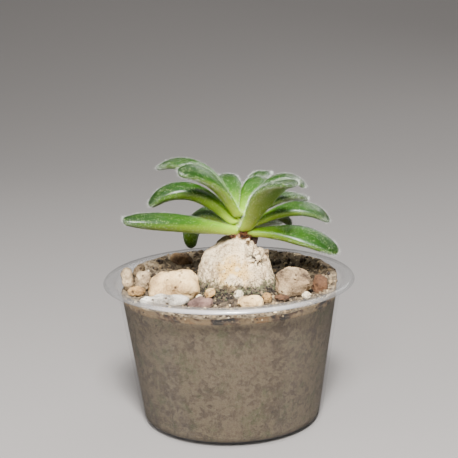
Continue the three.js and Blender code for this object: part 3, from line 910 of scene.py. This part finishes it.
STONE_FINISHES = {
    "cream_stone": (tone(230, 200, 150), tone(206, 170, 118), tone(140, 110, 74), tone(232, 214, 182)),
    "ochre_stone": (tone(206, 180, 132), tone(160, 124, 74), tone(96, 68, 40), tone(220, 202, 164)),
    "grey_stone": (tone(226, 220, 206), tone(180, 172, 158), tone(92, 86, 76), tone(244, 240, 230)),
    "pink_stone": (tone(126, 98, 86), tone(98, 74, 66), tone(66, 48, 42), tone(150, 126, 112)),
    "brown_stone": (tone(94, 64, 40), tone(70, 46, 28), tone(40, 26, 16), tone(124, 96, 64)),
    "white_stone": (tone(216, 202, 172), tone(184, 168, 138), tone(116, 98, 74), tone(230, 218, 196)),
    "pale_stone": (tone(190, 168, 132), tone(146, 124, 94), tone(82, 64, 46), tone(214, 198, 168)),
    "pitted_stone": (tone(186, 162, 126), tone(138, 114, 84), tone(66, 50, 34), tone(214, 196, 166)),
    # a darker copy of the ochre tones for the stone at the back left: painted shade
    "painted_shade_stone": (tone(150, 122, 86), tone(108, 84, 58), tone(62, 46, 32), tone(170, 146, 108)),
}
STONES_APART = {2: "pale_stone", 3: "pale_stone", 4: "pale_stone", 11: "pitted_stone", 13: "painted_shade_stone"}


def build_stones():
    slots = {part["node"]: part["material_slot"] for part in frame["record"]["subparts"]}
    materials = {slot: stone_finish(slot, *tones, 0.5 if slot == "grey_stone" else 0.3)
                 for slot, tones in STONE_FINISHES.items()}
    for number in range(1, STONE_COUNT + 1):
        node = f"stone_{number:02d}"
        low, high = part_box(node)
        size = max(high - low)
        stone = start_from(node, f"pebble_{number:02d}")
        modify(stone, "REMESH", mode="VOXEL", voxel_size=max(size / 46, 0.1 * MM))
        modify(stone, "SMOOTH", factor=0.6, iterations=5)
        lumps = 0.3 if size < SMALL_STONE else 0.15
        relief(stone, "CLOUDS", size / MM * 0.35, size / MM * lumps, noise_depth=1)
        relief(stone, "CLOUDS", 1.2, 0.42, noise_depth=4)
        relief(stone, "STUCCI", 0.3, 0.16)
        mark_hollows(stone, 5, 0.1)
        dress(stone, materials[STONES_APART.get(number, slots[node])], slots[node], node)


def draw_base_in(skin):
    """In edit mode: extrudes the leaf's base end on into the crown"""
    bpy.ops.object.mode_set(mode="OBJECT")
    place = vertex_array(skin.data)
    valence = np.bincount(edge_array(skin.data).ravel(), minlength=len(place))
    ends = place[valence >= 9]
    base = Vector(ends[np.linalg.norm(ends - np.array(CROWN), axis=1).argmin()])
    bpy.ops.object.mode_set(mode="EDIT")
    select_where(skin, lambda spot: (spot - base).length < 0.01 * MM)
    bpy.ops.mesh.select_more()
    bpy.ops.mesh.select_mode(type="FACE")
    bpy.ops.transform.resize(value=(1.15, 1.15, 1.15), center_override=base)
    way = Vector((CROWN.x, CROWN.y, base.z)) - base
    for share in (0.45, 0.4):
        bpy.ops.mesh.extrude_region_move(TRANSFORM_OT_translate={"value": way * share})
    bpy.ops.transform.resize(value=(0.7, 0.7, 0.7), center_override=base + way * 0.85)


def mark_leaf(skin):
    """Marks how far along the leaf each vertex is, how much it faces up, and how near a margin it is"""
    place = vertex_array(skin.data)
    normal = vertex_array(skin.data, "normal")
    base = place[np.linalg.norm(place - np.array(CROWN), axis=1).argmin()]
    reach = np.linalg.norm(place - base, axis=1)
    first, second = edge_array(skin.data).T
    bend = np.linalg.norm(normal[first] - normal[second], axis=1)
    bend /= np.linalg.norm(place[first] - place[second], axis=1) / MM
    curve = np.zeros(len(place))
    np.maximum.at(curve, first, bend)
    np.maximum.at(curve, second, bend)
    set_mark(skin.data, "along", reach / reach.max())
    set_mark(skin.data, "upper", np.clip(normal[:, 2] * 1.4 + 0.45, 0, 1))
    set_mark(skin.data, "margin", np.clip((curve - MARGIN_CURVE) / 0.8, 0, 1))


def hair_template():
    bpy.ops.mesh.primitive_cone_add(vertices=3, radius1=HAIR_RADIUS, depth=1, location=(0, 0, 0.5))
    hair = bpy.context.object
    bpy.ops.object.transform_apply(location=True)
    open_mesh(hair)
    bpy.ops.mesh.quads_convert_to_tris()
    close_mesh()
    return hair


def unit(ways):
    return ways / (np.linalg.norm(ways, axis=1)[:, None] + TINY)


def draw_roots(mesh, random):
    """Random hair roots, densest at the margins: their places, outward ways, margin marks and the tip"""
    mesh.calc_loop_triangles()
    corners = np.empty(len(mesh.loop_triangles) * 3, dtype=np.int64)
    mesh.loop_triangles.foreach_get("vertices", corners)
    corners = corners.reshape(-1, 3)
    place = vertex_array(mesh)
    normal = vertex_array(mesh, "normal")
    along, margin = read_mark(mesh, "along"), read_mark(mesh, "margin")[corners].mean(axis=1)
    first, second, third = (place[corners[:, corner]] for corner in range(3))
    areas = np.linalg.norm(np.cross(second - first, third - first), axis=1) / 2
    wanted = areas / MM ** 2 * (FACE_HAIRS + (MARGIN_HAIRS - FACE_HAIRS) * margin)
    wanted *= 0.25 + 0.75 * np.clip(along[corners[:, 0]] / 0.3, 0, 1)
    count = int(wanted.sum())
    chosen = random.choice(len(areas), count, p=wanted / wanted.sum())
    shares = random.dirichlet((1, 1, 1), count)[:, :, None]
    roots = (place[corners[chosen]] * shares).sum(axis=1)
    outward = (normal[corners[chosen]] * shares).sum(axis=1)
    return roots, outward, margin[chosen], place[along.argmax()]


def grow_hairs(skin, name, seed, material):
    """Fine white hairs all over a leaf, each leaning a little towards the tip"""
    random = np.random.default_rng(seed)
    roots, outward, margin, tip = draw_roots(skin.data, random)
    count = len(roots)
    heading = unit(outward + 0.25 * unit(tip - roots) + random.normal(0, 0.25, (count, 3)))
    side = unit(np.cross(heading, random.normal(0, 1, (count, 3))))
    length = random.uniform(0.3, 0.6, count) + margin * random.uniform(0.1, 1.0, count)
    turns = np.stack([side, np.cross(heading, side), heading * length[:, None] * MM], axis=2)
    hairs = copies_of(hair_template(), name, turns, roots - heading * 0.03 * MM)
    dress(hairs, material, "leaf")


def build_leaves():
    skin_material, hair_material = leaf_finish(), hair_finish()
    for number in range(1, LEAF_COUNT + 1):
        node = f"leaf_{number:02d}"
        skin = start_from(node, f"{node}_skin")
        open_mesh(skin)
        draw_base_in(skin)
        bpy.ops.mesh.select_all(action="SELECT")
        bpy.ops.mesh.tris_convert_to_quads(face_threshold=LEAF_FLATNESS, shape_threshold=LEAF_FLATNESS)
        close_mesh()
        modify(skin, "SUBSURF", levels=2, render_levels=2)
        modify(skin, "DISPLACE", strength=SKIN_SWELL, mid_level=0)
        relief(skin, "CLOUDS", 2.5, 0.16, noise_depth=1)
        mark_leaf(skin)
        dress(skin, skin_material, "leaf", node)
        grow_hairs(skin, f"{node}_hairs", 100 + number, hair_material)


def build_floor():
    """A pale floor that sweeps up behind the object"""
    bpy.ops.mesh.primitive_plane_add(size=FLOOR_SPAN)
    floor = bpy.context.object
    floor.name = "pale_floor"
    open_mesh(floor)
    select_where(floor, lambda place: place.y > 0)
    bpy.ops.transform.translate(value=(0, SWEEP_START - FLOOR_SPAN / 2, 0))
    centre = (0, SWEEP_START, SWEEP_RADIUS)
    bpy.ops.mesh.spin(steps=40, angle=math.radians(-90), center=centre, axis=(1, 0, 0))
    close_mesh()
    floor.data.materials.append(floor_finish())
    pick(floor)
    bpy.ops.object.shade_smooth()


def build_lights():
    world = bpy.data.worlds.new("soft_room")
    world.use_nodes = True
    world.node_tree.nodes["Background"].inputs["Color"].default_value = tone(200, 200, 202)
    world.node_tree.nodes["Background"].inputs["Strength"].default_value = 0.2
    bpy.context.scene.world = world
    plant, backdrop = Vector((0, 0, 50 * MM)), Vector((0, 1.4, 0.2))
    for name, place, aim, width, depth, power in (
        ("key", (0.02, -0.44, 0.54), plant, 0.11, 0.11, 17.0),
        ("strip", (-0.03, -0.52, 0.40), plant, 0.36, 0.05, 6.0),
        ("fill", (-0.55, -0.30, 0.35), plant, 0.5, 0.5, 1.8),
        ("back", (0.35, 0.55, 0.50), plant, 0.4, 0.4, 1.6),
        ("wash", (0.0, 0.5, 1.5), backdrop, 1.6, 0.8, 7.0),
    ):
        lamp = bpy.data.lights.new(name, "AREA")
        lamp.shape = "RECTANGLE"
        lamp.size = width
        lamp.size_y = depth
        lamp.energy = power
        holder = bpy.data.objects.new(name, lamp)
        holder.location = place
        holder.rotation_euler = (aim - Vector(place)).to_track_quat("-Z", "Y").to_euler()
        bpy.context.collection.objects.link(holder)


def build_camera():
    """Looks at the rim's centre from its reach and rise, with that centre at its pixel"""
    right = RIM_CENTRE[0] - PICTURE / 2
    up = PICTURE / 2 - RIM_CENTRE[1]
    cos_roll, sin_roll = math.cos(CAMERA_ROLL), math.sin(CAMERA_ROLL)
    across = right * cos_roll - up * sin_roll
    above = right * sin_roll + up * cos_roll
    length = math.sqrt(across ** 2 + above ** 2 + FOCAL_PIXELS ** 2)
    dip = math.asin(length * math.sin(CAMERA_RISE) / math.hypot(above, FOCAL_PIXELS)) \
        + math.atan2(above, FOCAL_PIXELS)
    level = above * math.sin(dip) + FOCAL_PIXELS * math.cos(dip)
    yaw = -math.atan2(across, level)
    forward = Vector((math.sin(yaw) * math.cos(dip), math.cos(yaw) * math.cos(dip), -math.sin(dip)))
    flat_right = forward.cross(Vector((0, 0, 1))).normalized()
    flat_up = flat_right.cross(forward)
    rolled_right = flat_right * cos_roll + flat_up * sin_roll
    rolled_up = flat_up * cos_roll - flat_right * sin_roll
    data = bpy.data.cameras.new("viewpoint")
    data.sensor_width = SENSOR
    data.lens = FOCAL_PIXELS / PICTURE * SENSOR
    data.clip_start = 0.01
    camera = bpy.data.objects.new("viewpoint", data)
    place = Vector((0, -math.cos(CAMERA_RISE), math.sin(CAMERA_RISE))) * CAMERA_REACH
    turn = Matrix((rolled_right, rolled_up, -forward)).transposed().to_4x4()
    camera.matrix_world = Matrix.Translation(place + Vector((0, 0, CUP_HEIGHT))) @ turn
    bpy.context.collection.objects.link(camera)
    bpy.context.scene.camera = camera


build_camera()
build_lights()
build_floor()
build_cup()
build_soil()
build_grit()
build_crumbs(build_caudex())
build_stones()
build_stalk()
build_scales()
build_leaves()
